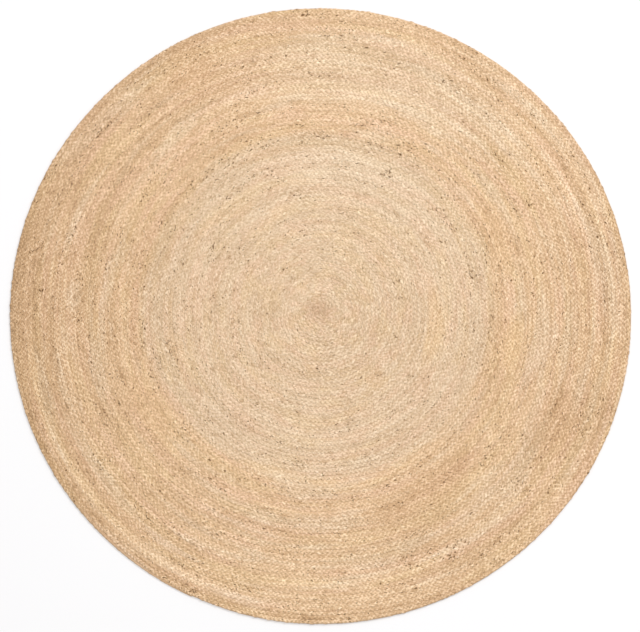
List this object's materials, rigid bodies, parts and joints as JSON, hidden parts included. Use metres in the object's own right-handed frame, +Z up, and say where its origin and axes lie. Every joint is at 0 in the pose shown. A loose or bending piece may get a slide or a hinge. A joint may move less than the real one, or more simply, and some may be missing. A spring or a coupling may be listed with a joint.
{
  "type": "round jute rug",
  "caption": "Flat round rug coiled from a three-strand jute braid and sewn edge to edge, to lie on a floor.",
  "frame": {"origin": "on the floor, under the middle of the rug", "axes": "+Z up out of the rug's top, square to the floor; the rug is round, so +X and +Y are any two directions across it"},
  "size_m": [1.9994, 1.9995, 0.008],
  "materials": {
    "natural_jute": "natural undyed jute yarn, matt with a faint straw sheen, pale wheat to golden tan"
  },
  "bodies": {
    "root": {"braided_rug": "natural_jute"}
  },
  "joints": []
}
